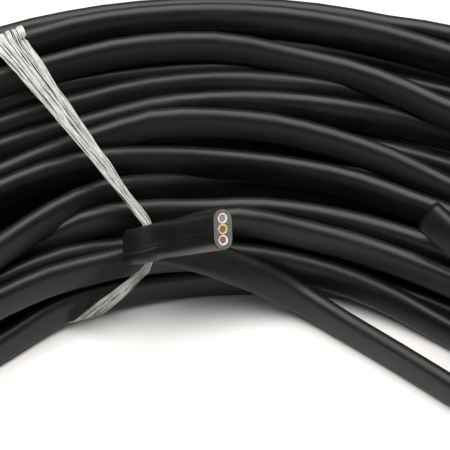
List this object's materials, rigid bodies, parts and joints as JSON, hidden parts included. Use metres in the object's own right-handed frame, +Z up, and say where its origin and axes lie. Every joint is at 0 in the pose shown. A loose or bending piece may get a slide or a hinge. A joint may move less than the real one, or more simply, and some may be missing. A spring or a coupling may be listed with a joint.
{
  "type": "coil of flat three-core power cable",
  "caption": "Ring-shaped coil of flat black power cable tied with white plastic twine, with a loose tail looped round a tie and ending in a cut face that shows its cores.",
  "frame": {"origin": "centre of the coil, at floor level", "axes": "+Z up along the coil's axis, +Y towards the stretch of the coil's wall that the loose tail's bend and cut end lie by, +X to the right when looking along +Y"},
  "size_m": [0.458, 0.458, 0.1015],
  "materials": {
    "sheath": "satin black PVC sheath with fine scuffs",
    "insulation_white": "cut white insulation",
    "insulation_yellow": "cut cream yellow insulation",
    "conductor": "cut ends of fine copper wires",
    "twine": "flat white polypropylene twine, split into fibres"
  },
  "bodies": {
    "root": {"cable_coil": "sheath", "cable_tail": "sheath", "cable_start": "sheath", "core_insulation_1": "insulation_white", "core_insulation_2": "insulation_yellow", "core_insulation_3": "insulation_white", "core_conductor_1": "conductor", "core_conductor_2": "conductor", "core_conductor_3": "conductor", "twine_tie_1": "twine", "twine_tie_2": "twine", "twine_tie_3": "twine"}
  },
  "joints": []
}
